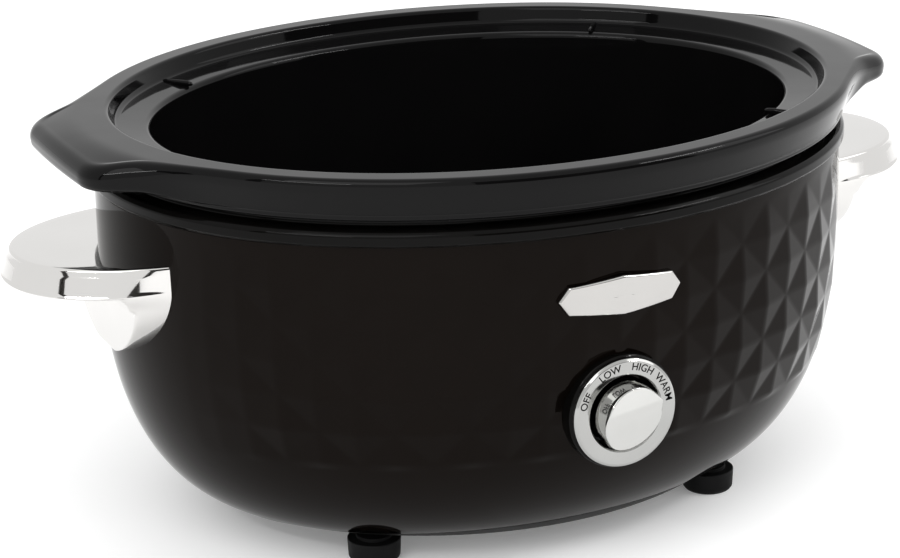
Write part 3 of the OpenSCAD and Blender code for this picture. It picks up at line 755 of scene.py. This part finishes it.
@dataclass
class Handle:
    """One chromed side handle: a level D-shaped wing over a rounded mounting block."""

    side: int
    root: float = 150.0
    reach: float = 220.0
    half: float = 49.6
    power: float = 2.1
    top: float = 142.0
    foot: float = 129.5
    flare: float = 4.3
    crest: float = 1.6
    heel: float = 1.2
    block_face: float = 180.2
    block_foot: float = 92.8
    block_power: float = 1.85
    edge: float = 2.4
    web: float = 8.5
    side_end: float = 183.5
    across: int = 221

    def plan(self) -> tuple:
        """The wing's outline at its top, a half superellipse, and the flare at each of its points.

        Returns:
            Points (x, y, 0) from the front flank to the back one, and how far each leans out at the
            wing's foot, which is most at the tip and nothing at the shell.
        """
        v = np.linspace(-1.0, 1.0, self.across)
        angle = v * math.radians(84.0)
        x = self.root + (self.reach - self.root) * np.cos(angle) ** (2.0 / self.power)
        y = self.half * np.sign(v) * np.abs(np.sin(angle)) ** (2.0 / self.power)
        return np.stack([x, y, 0.0 * v], -1), self.flare * smoothstep(1.0, 0.55, np.abs(v))

    def narrowing(self, z: np.ndarray) -> np.ndarray:
        """The block's half width at height z as a share of its width under the wing, a superellipse."""
        share = np.clip((self.foot - z) / (self.foot - self.block_foot), 0.0, 1.0)
        return np.clip(1.0 - share ** self.block_power, 0.0, 1.0) ** (1.0 / self.block_power)

    def build(self) -> None:
        """Stacks level rings from the wing's flat top down to the block's rounded foot.

        Every ring has the wing's own outline as its pattern. The block's rings are that outline cut
        off at the block's face and narrowed, so its sides stay flush with the wing's where the two
        meet. Where the wing overhangs the face, rings run in along its underside and down a web.
        """
        wing, flare = self.plan()
        tangent = np.gradient(wing, axis=0)
        out = np.stack([tangent[:, 1], -tangent[:, 0], 0.0 * flare], -1)
        out = (out / np.linalg.norm(out, axis=-1, keepdims=True))[None]
        wing, up = wing[None], np.array([0.0, 0.0, 1.0])
        spread = flare[None, :, None]
        lower = wing + out * spread
        quarter = np.linspace(0.0, 0.5 * math.pi, 7)[:, None, None]
        hang = smoothstep(self.block_face + 1.0, self.side_end + 5.0, wing[..., 0])[..., None]

        middle = np.array([self.root + 8.0, 0.0, 0.0])
        shrink = np.linspace(0.06, 1.0, 12)[:-1, None, None]
        flat = lerp(middle, wing - out * self.crest, shrink) + up * self.top
        bend = wing - out * self.crest * (1.0 - np.sin(quarter)) + up * (
            self.top - self.crest * (1.0 - np.cos(quarter)))
        fall = np.linspace(0.0, 1.0, 8)[1:, None, None]
        band_z = lerp(self.top - self.crest, self.foot + self.heel, fall)
        lean = (self.top - band_z) / (self.top - self.foot)
        band = wing + out * spread * lean + up * band_z

        def spaced(count: int, start: float, end: float) -> np.ndarray:
            """Heights of the flush flanks' rings, while the overhang's rings go round the underside."""
            return np.linspace(start, end, count + 1)[1:, None, None]

        def flanks(z: np.ndarray) -> np.ndarray:
            """The block's side at height z, which eases from the wing's foot to the plain outline."""
            plan = lerp(lower, wing, smoothstep(foot_z, foot_z - self.web, z))
            return plan * np.concatenate([1.0 + 0.0 * z, self.narrowing(z), 0.0 * z], -1) + up * z

        foot_z = self.foot + self.heel
        heel_over = lower - out * self.heel * (1.0 - np.cos(quarter[1:])) + up * (
            foot_z - self.heel * np.sin(quarter[1:]))
        heel = lerp(flanks(spaced(6, foot_z, foot_z - 1.2)), heel_over, hang)
        cut = self.block_face + self.web
        inner_x = smooth_min(heel_over[-1:, :, 0:1], np.full_like(hang, cut), 1.0)
        slide = np.linspace(0.0, 1.0, 10)[1:, None, None]
        rim = heel_over[-1:]
        floor_x = lerp(rim[..., 0:1], inner_x, slide)
        floor_y = rim[..., 1:2] + 0.0 * slide
        floor_over = np.concatenate([floor_x, floor_y, self.foot + 0.0 * floor_x], -1)
        floor = lerp(flanks(spaced(9, foot_z - 1.2, foot_z - 2.6)), floor_over, hang)
        turn = np.linspace(0.0, 0.5 * math.pi, 11)[1:, None, None]
        web_end = self.foot - self.web
        web_x = smooth_min(inner_x, self.block_face + self.web * (1.0 - np.sin(turn)), 1.0)
        web_z = self.foot - self.web * (1.0 - np.cos(turn)) + 0.0 * web_x
        web_y = wing[..., 1:2] * self.narrowing(web_z)
        web_y = lerp(floor_y[-1:], web_y, smoothstep(0.0, 1.0, turn))
        web_over = np.concatenate([web_x, web_y, web_z], -1)
        web = lerp(flanks(spaced(10, foot_z - 2.6, web_end)), web_over, hang)
        step = np.linspace(0.0, 1.0, 30)[1:, None, None]
        sink = np.sin(step * 0.5 * math.pi) ** (2.0 / self.block_power)
        start_share = (self.foot - web_end) / (self.foot - self.block_foot)
        block_z = self.foot - (self.foot - self.block_foot) * lerp(start_share, 1.0, sink)
        under_edge = np.clip(1.0 - (block_z - self.block_foot) / self.edge, 0.0, 1.0)
        recess = self.edge * (1.0 - np.sqrt(1.0 - 0.98 * under_edge ** 2))
        face_x = smooth_min(wing[..., 0:1] + 0.0 * block_z, self.block_face - recess, self.edge)
        block_y = wing[..., 1:2] * self.narrowing(block_z)
        block = np.concatenate([face_x, block_y, block_z + 0.0 * face_x], -1)
        start = smooth_min(web[-1:, :, 0:1], np.full_like(hang, self.block_face), self.edge)
        late = smoothstep(0.7, 1.0, np.linspace(0.0, 1.0, len(web)))[:, None, None]
        web[..., 0:1] = lerp(web[..., 0:1], np.minimum(web[..., 0:1], start), late)

        rows = np.concatenate([flat, bend, band, heel, floor, web, block])
        back = np.linspace(1.0, 0.0, 14)[1:-1][None, :, None]
        inside = lerp(rows[:, :1], rows[:, -1:], back)
        rings = placed(np.concatenate([rows, inside], 1) * [float(self.side), 1.0, 1.0])
        node = "handle_left" if self.side < 0 else "handle_right"
        add_piece(f"{node}_chromed", rings, CHROME, "base", node)


# ---------------------------------------------------------------- the dial


@dataclass
class Dial:
    """The control on the front: a black boss, a chromed scale ring with its words, and the knob."""

    z: float = 79.4
    face: float = 148.5
    knob_r: float = 15.1
    knob_skirt_r: float = 16.4
    tip_r: float = 16.6
    tip_deg: float = 21.0
    draft: float = 0.13
    ridge_w: float = 4.85
    ridge_slope: float = 0.09
    front_h: float = 6.74
    front_fall_x: float = 0.1536
    front_rise_z: float = 0.3486
    fold: float = 0.36
    low_deg: float = -65.0
    edge: float = 0.45
    floor: float = -6.6
    letter_h: float = 3.3
    letter_r: float = 19.4

    def origin(self) -> np.ndarray:
        """The dial's axis where it meets the plane through the oval's centre."""
        return placed(np.array([0.0, 0.0, self.z]))

    def turned(self, name: str, corners: list, radii: list, finish: Finish, node: str) -> None:
        """A closed section, (radius, distance in front) corners, turned round the dial's axis."""
        path = rounded_path(corners, radii, step=2.0, closed=True)
        add_piece(name, revolved(path, self.origin(), 180, False), finish, "base", node, True)

    def knob(self) -> None:
        """The knob: two planes that meet in a ridge, cut off by a round side with a pointed prow.

        The front's height is the lesser of two planes. The side's radius is the circle's, except on the
        two tangents that meet at the tip, and it grows a little where the front comes down to the ring.
        """
        angle = turns(240)
        tip = math.radians(self.tip_deg)
        half = math.acos(self.knob_r / self.tip_r)
        apart = np.abs((angle - tip + math.pi) % (2.0 * math.pi) - math.pi)
        prow = np.where(apart < half, self.knob_r / np.cos(half - apart), self.knob_r)
        low_way = np.cos(angle - math.radians(self.low_deg))
        base = smooth_min(prow + (self.knob_skirt_r - self.knob_r) * smoothstep(0.2, 0.8, low_way),
                          np.full_like(angle, self.tip_r - 0.1), 0.6)

        def front(r: np.ndarray) -> np.ndarray:
            """Height of the front over the ring's face at distance r along each column."""
            u, w = r * np.cos(angle), r * np.sin(angle)
            lower = self.front_h - self.front_fall_x * u + self.front_rise_z * w
            upper = lower - self.fold * (w - self.ridge_w - self.ridge_slope * u)
            return smooth_min(upper, lower, 0.3)

        radius = base - self.draft * np.clip(front(base), 0.0, None)
        share = np.concatenate([np.linspace(0.02, 0.94, 44), [0.965]])[:, None]
        rows_r = share * radius[None, :]
        rows_h = front(rows_r)
        edge_h = front(radius[None, :] * 0.975)
        turn = np.linspace(0.0, 0.5 * math.pi, 7)[:, None]
        bend_r = radius[None, :] - self.edge * (1.0 - np.sin(turn))
        bend_h = edge_h - self.edge * (1.0 - np.cos(turn))
        fall = np.linspace(0.0, 1.0, 26)[1:, None]
        side_h = lerp(bend_h[-1:], np.full_like(bend_h[-1:], self.floor), fall)
        over_ring = np.minimum(base, self.knob_skirt_r)[None, :]
        sunk = np.clip((edge_h - side_h) / np.maximum(edge_h, 1.0), 0.0, 1.0)
        side_r = lerp(radius[None, :], base[None, :], sunk)
        side_r = lerp(side_r, over_ring, smoothstep(1.6, 0.6, side_h))
        side_r = lerp(side_r, np.full_like(over_ring, self.knob_r), smoothstep(-1.2, -3.0, side_h))
        back_r = self.knob_r * np.array([0.97, 0.7, 0.35, 0.05])[:, None] + 0.0 * angle
        back_h = np.full_like(back_r, self.floor - 0.1)
        r = np.concatenate([rows_r, bend_r, side_r, back_r])
        h = np.concatenate([rows_h, bend_h, side_h, back_h])
        rings = np.stack([r * np.cos(angle), -(self.face + h), r * np.sin(angle)], -1) + self.origin()
        add_piece("knob_chromed", rings, KNOB_CHROME, "knob", "knob")

    def word(self, text: str, angle_deg: float) -> None:
        """One word of the scale, bent round the ring.

        The letters' own x becomes an angle round the dial and their y a distance from its axis.

        Args:
            text: the word.
            angle_deg: where its middle stands, from +X towards +Z.
        """
        curve = bpy.data.curves.new(f"scale_{text.lower()}", "FONT")
        curve.body = text
        curve.size = self.letter_h / 0.72
        curve.align_x = "CENTER"
        curve.extrude = 0.04
        curve.resolution_u = 6
        curve.space_character = 1.02
        curve.offset = 0.05
        source = bpy.data.objects.new(curve.name, curve)
        bpy.context.scene.collection.objects.link(source)
        bpy.context.view_layer.update()
        mesh = bpy.data.meshes.new_from_object(source.evaluated_get(bpy.context.evaluated_depsgraph_get()))
        bpy.data.objects.remove(source)
        flat = np.zeros(len(mesh.vertices) * 3)
        mesh.vertices.foreach_get("co", flat)
        flat = flat.reshape(-1, 3)
        middle = (flat[:, 0].min() + flat[:, 0].max()) / 2.0
        radius = self.letter_r + flat[:, 1]
        angle = math.radians(angle_deg) - (flat[:, 0] - middle) / (self.letter_r + self.letter_h / 2.0)
        proud = self.face + 0.02 + flat[:, 2]
        bent = np.stack([radius * np.cos(angle), -proud, radius * np.sin(angle)], -1) + self.origin()
        mesh.vertices.foreach_set("co", (bent * MM).astype(np.float32).ravel())
        mesh.update()
        mesh.materials.clear()
        mesh.materials.append(LABEL_INK.material())
        piece = bpy.data.objects.new(curve.name, mesh)
        bpy.context.scene.collection.objects.link(piece)
        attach(piece, "base")

    def build(self) -> None:
        """Makes the boss, the ring, the knob and the scale's four words."""
        self.turned("dial_boss_black",
                    [(17.4, 141.0), (17.4, 145.6), (24.4, 146.0), (25.4, 145.2), (25.6, 139.2),
                     (3.2, 139.2), (3.2, 141.0)],
                    [0.3, 0.3, 0.5, 0.8, 0, 0, 0.1], COLLAR_BLACK, "dial_boss")
        self.turned("scale_ring_chromed",
                    [(16.8, 146.0), (16.8, 147.7), (17.5, 148.5), (23.2, 148.5), (24.3, 147.5),
                     (24.3, 146.0)],
                    [0.1, 0.2, 0.3, 0.4, 0.3, 0.1], SCALE_CHROME, "dial_ring")
        self.knob()
        for text, angle_deg in (("OFF", 156.0), ("LOW", 111.0), ("HIGH", 67.0), ("WARM", 26.0)):
            self.word(text, angle_deg)


@dataclass
class Badge:
    """The blank chromed name plate: eight-cornered, crowned, with a bevelled edge."""

    z: float = 132.0
    half_l: float = 29.0
    half_h: float = 8.7
    back: float = 143.6
    shoulder_l: float = 24.5
    shoulder_h: float = 6.2

    def build(self) -> None:
        """Makes the plate from rings that shrink from its edge to its middle, and bow like the side."""
        corners = [(self.half_l, 0.0), (self.shoulder_l, self.shoulder_h), (0.0, self.half_h),
                   (-self.shoulder_l, self.shoulder_h), (-self.half_l, 0.0),
                   (-self.shoulder_l, -self.shoulder_h), (0.0, -self.half_h),
                   (self.shoulder_l, -self.shoulder_h)]
        outline = rounded_path(corners, [0.5, 0.8, 4.0, 0.8, 0.5, 0.8, 4.0, 0.8], step=1.5, closed=True)
        inward = [0.0, 0.0, 0.0, 0.08, 0.3, 0.7, 0.85, 1.0, 2.0, 4.0, 6.0, 7.5, 8.4]
        height = [0.0, 1.6, 2.9, 3.1, 3.35, 3.66, 3.7, 3.7, 3.7, 3.7, 3.7, 3.7, 3.7]
        inward, height = np.array(inward)[:, None], np.array(height)[:, None]
        x = outline[None, :, 0] * (1.0 - inward / self.half_l - (inward / self.half_h) ** 3 * 0.6)
        w = outline[None, :, 1] * (1.0 - inward / self.half_h)
        bow = x * x * 0.004
        rings = np.stack([x, -(self.back + height - bow), w + self.z], -1)
        add_piece("badge_plate", placed(rings), PLATE_CHROME, "base", "badge")


# ---------------------------------------------------------------- feet and gland


@dataclass
class Underside:
    """The rubber feet and the cord gland."""

    foot_r: float = 12.0
    neck_r: float = 8.0
    screw_r: float = 4.2
    foot_h: float = 11.5
    cord_r: float = 3.7

    def feet(self) -> None:
        """Makes four turned rubber feet, each with a softened tread and a neck up to the plate."""
        for node in ("foot_front_left", "foot_front_right", "foot_rear_left", "foot_rear_right"):
            low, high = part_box(node)
            centre = np.array([(low.x + high.x) / 2.0, (low.y + high.y) / 2.0, 0.0]) / MM
            path = rounded_path([(0.4, 1.6), (self.screw_r, 1.6), (self.screw_r, 0.0), (10.6, 0.0),
                                 (11.6, 1.4), (self.foot_r, 9.9), (self.neck_r, 10.0),
                                 (self.neck_r, self.foot_h), (0.4, self.foot_h)],
                                [0, 0.4, 0.5, 0.8, 1.0, 0.6, 0.3, 0.3, 0], step=2.0)
            add_piece(f"{node}_rubber", revolved(path, centre, 96, True), RUBBER, "base", node)

    def gland(self) -> None:
        """Makes the cord gland: a flanged, ribbed sleeve through the shell's back, open for the cord."""
        low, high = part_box("cord_gland")
        x, z = (low.x + high.x) / 2.0 / MM, (low.z + high.z) / 2.0 / MM
        inner, outer = low.y / MM, high.y / MM
        radius = (high.x - low.x) / 2.0 / MM
        mouth = outer - 0.4
        steps = ((1.6, 12.0), (0.0, 11.5), (0.0, 9.0), (1.4, 8.2), (1.2, 6.0), (2.0, 5.4), (1.5, 4.6),
                 (1.6, 2.6), (2.3, 2.0), (1.8, 1.2), (2.0, 0.0))
        corners = [(self.cord_r, -inner), (radius - 1.6, -inner),
                   *((radius - inset, behind - mouth) for inset, behind in steps), (self.cord_r, -mouth)]
        path = rounded_path(corners, [0.2, 0.2, 0.2, 0.4, 0.4, 0.3, 0.3, 0.3, 0.3, 0.3, 0.3, 0.3, 0.5, 0.6],
                            step=1.5, closed=True)
        rings = revolved(path, np.array([x, 0.0, z]), 96, False)
        add_piece("cord_gland_moulded", rings, GLAND_BLACK, "base", "cord_gland", True)


def dress_frame() -> None:
    """Gives every CAD node that still shows the finish of its own material slot."""
    for part in frame["record"]["subparts"]:
        piece = frame["nodes"][part["node"]]
        if not piece.data.materials:
            piece.data.materials.append(None)
        for material_slot in piece.material_slots:
            material_slot.material = FINISH_OF_SLOT[part["material_slot"]].material()


# ---------------------------------------------------------------- studio


@dataclass
class Studio:
    """A pale floor, soft lights, dark cards for the chrome to mirror, and the camera."""

    azimuth_deg: float = -24.97
    elevation_deg: float = 19.0
    roll_deg: float = -1.09
    distance: float = 1.3144
    aim: tuple = (-0.00284, 0.0, 0.09217)
    lens: float = 112.52
    shift: tuple = (-0.0219, 0.0071)

    def camera(self) -> None:
        """Places the camera at the front left, a little above, turned slightly about its own axis."""
        az, el, roll = (math.radians(x) for x in (self.azimuth_deg, self.elevation_deg, self.roll_deg))
        back = np.array([math.sin(az) * math.cos(el), -math.cos(az) * math.cos(el), math.sin(el)])
        right = np.array([math.cos(az), math.sin(az), 0.0])
        up = np.cross(back, right)
        turned_right = math.cos(roll) * right + math.sin(roll) * up
        turned_up = -math.sin(roll) * right + math.cos(roll) * up
        place = np.array(self.aim) + [0.0, CENTRE_Y * MM, 0.0] + back * self.distance
        data = bpy.data.cameras.new("camera")
        data.lens = self.lens
        data.sensor_width = 36.0
        data.shift_x, data.shift_y = self.shift
        data.clip_start, data.clip_end = 0.05, 50.0
        eye = bpy.data.objects.new("camera", data)
        rows = np.eye(4)
        rows[:3, 0], rows[:3, 1], rows[:3, 2], rows[:3, 3] = turned_right, turned_up, back, place
        eye.matrix_world = Matrix(rows.tolist())
        bpy.context.scene.collection.objects.link(eye)
        bpy.context.scene.camera = eye

    def light(self, name: str, place: tuple, target: tuple, size: tuple, watts: float) -> None:
        """An oblong soft light at place, turned to target, that the camera doesn't see."""
        data = bpy.data.lights.new(name, "AREA")
        data.shape = "RECTANGLE"
        data.size, data.size_y = size
        data.energy = watts
        lamp = bpy.data.objects.new(name, data)
        way = np.array(target) - np.array(place)
        lamp.location = place
        lamp.rotation_mode = "QUATERNION"
        lamp.rotation_quaternion = Vector(way).to_track_quat("-Z", "Y")
        lamp.visible_camera = False
        bpy.context.scene.collection.objects.link(lamp)

    def sheet(self, name: str, corners: list, finish: Finish) -> bpy.types.Object:
        """A flat sheet between four corners, part of the stage."""
        mesh = bpy.data.meshes.new(name)
        mesh.from_pydata(corners, [], [(0, 1, 2, 3)])
        mesh.materials.append(finish.material())
        sheet = bpy.data.objects.new(name, mesh)
        bpy.context.scene.collection.objects.link(sheet)
        return sheet

    def build(self) -> None:
        """Makes the floor, the cards, the lights, the world and the camera."""
        floor = Finish("studio_floor", (0.94, 0.94, 0.94), (0.92, 0.92, 0.92), (0.55, 0.65),
                       Grain.PEBBLE, 300.0, 0.00001, specular=0.1, glow=0.15)
        card = Finish("studio_card", (0.030, 0.028, 0.026), (0.022, 0.021, 0.020), (0.9, 1.0),
                      Grain.CLOTH, 300.0, 0.00001, specular=0.0)
        self.sheet("floor", [(-6.0, -6.0, 0.0), (6.0, -6.0, 0.0), (6.0, 6.0, 0.0), (-6.0, 6.0, 0.0)], floor)
        for name, start, end in (("front_card", (-0.5, -2.5), (2.5, -2.5)),
                                 ("left_card", (-2.5, -0.95), (-2.5, -0.70))):
            flag = self.sheet(name, [(*start, 0.02), (*end, 0.02), (*end, 1.9), (*start, 1.9)], card)
            flag.visible_camera = False
            flag.visible_diffuse = False
            flag.visible_shadow = False
        self.light("key_light", (-1.3, -1.2, 2.2), (0.0, 0.0, 0.1), (1.6, 1.6), 16.0)
        self.light("fill_light", (1.9, -0.9, 1.6), (0.0, 0.0, 0.1), (1.4, 1.4), 9.0)
        self.light("right_strip", (1.3, -1.0, 1.5), (0.0, -0.1, 0.15), (0.9, 0.05), 7.0)
        self.light("left_strip", (-1.5, -0.9, 1.3), (0.0, -0.1, 0.15), (0.9, 0.05), 5.0)
        world = bpy.data.worlds.new("studio")
        world.use_nodes = True
        sky = world.node_tree.nodes["Background"]
        sky.inputs["Color"].default_value = (1.0, 1.0, 1.0, 1.0)
        sky.inputs["Strength"].default_value = 1.05
        bpy.context.scene.world = world
        bpy.context.scene.view_settings.view_transform = "Standard"
        self.camera()


def main() -> None:
    """Builds the studio and every piece of the slow cooker, and logs each step as it is made."""
    logging.basicConfig(level=logging.INFO, format="%(message)s")
    steps = (("studio", Studio().build), ("frame finishes", dress_frame), ("crock", Crock().build),
             ("shell", Shell().build), ("collar", Collar().build), ("left handle", Handle(-1).build),
             ("right handle", Handle(1).build), ("dial", Dial().build), ("badge", Badge().build),
             ("feet", Underside().feet), ("gland", Underside().gland))
    for label, build in steps:
        build()
        LOG.info("made %s", label)


if __name__ == "__main__":
    main()
